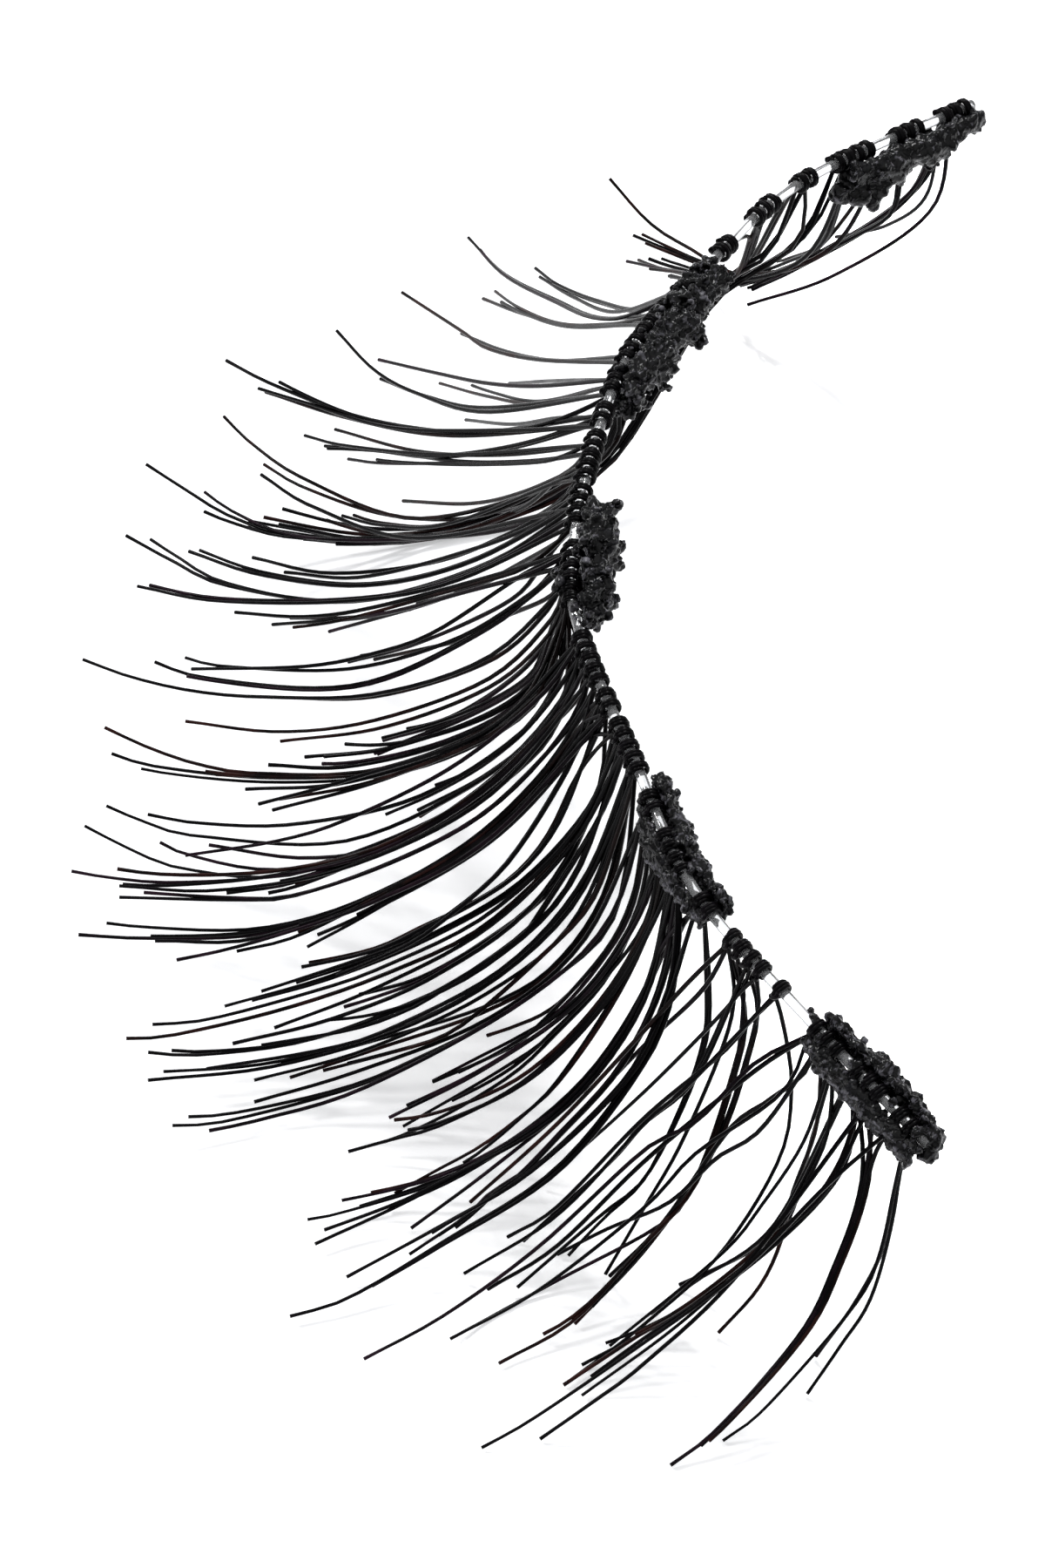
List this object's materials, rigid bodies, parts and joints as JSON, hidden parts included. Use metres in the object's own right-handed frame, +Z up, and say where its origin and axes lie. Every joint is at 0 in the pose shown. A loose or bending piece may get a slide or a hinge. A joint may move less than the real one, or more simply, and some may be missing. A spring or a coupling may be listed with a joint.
{
  "type": "false eyelash strip",
  "caption": "Used false eyelash strip: a clear curved band with groups of knotted black hairs that sweep out and down, and lumps of dried glue on its eyelid side.",
  "frame": {"origin": "on the surface that the strip stands on, under the middle of its box", "axes": "+Y along the band from its near end to its far end, +X to the eyelid side of the band, hairs sweep to -X, +Z up"},
  "size_m": [0.0162, 0.034, 0.0079],
  "materials": {
    "nylon": "clear smooth filament",
    "hair": "black fibre with a soft sheen",
    "glue": "dried black latex, lumpy and glossy in spots"
  },
  "bodies": {
    "root": {"band_filament": "nylon", "hair_cluster_01": "hair", "hair_cluster_02": "hair", "hair_cluster_03": "hair", "hair_cluster_04": "hair", "hair_cluster_05": "hair", "hair_cluster_06": "hair", "hair_cluster_07": "hair", "hair_cluster_08": "hair", "hair_cluster_09": "hair", "hair_cluster_10": "hair", "hair_cluster_11": "hair", "hair_cluster_12": "hair", "hair_cluster_13": "hair", "hair_cluster_14": "hair", "hair_cluster_15": "hair", "hair_cluster_16": "hair", "hair_cluster_17": "hair", "hair_cluster_18": "hair", "hair_cluster_19": "hair", "hair_cluster_20": "hair", "hair_cluster_21": "hair", "hair_cluster_22": "hair", "hair_cluster_23": "hair", "hair_cluster_24": "hair", "hair_cluster_25": "hair", "glue_crust_1": "glue", "glue_crust_2": "glue", "glue_crust_3": "glue", "glue_crust_4": "glue", "glue_crust_5": "glue"}
  },
  "joints": []
}
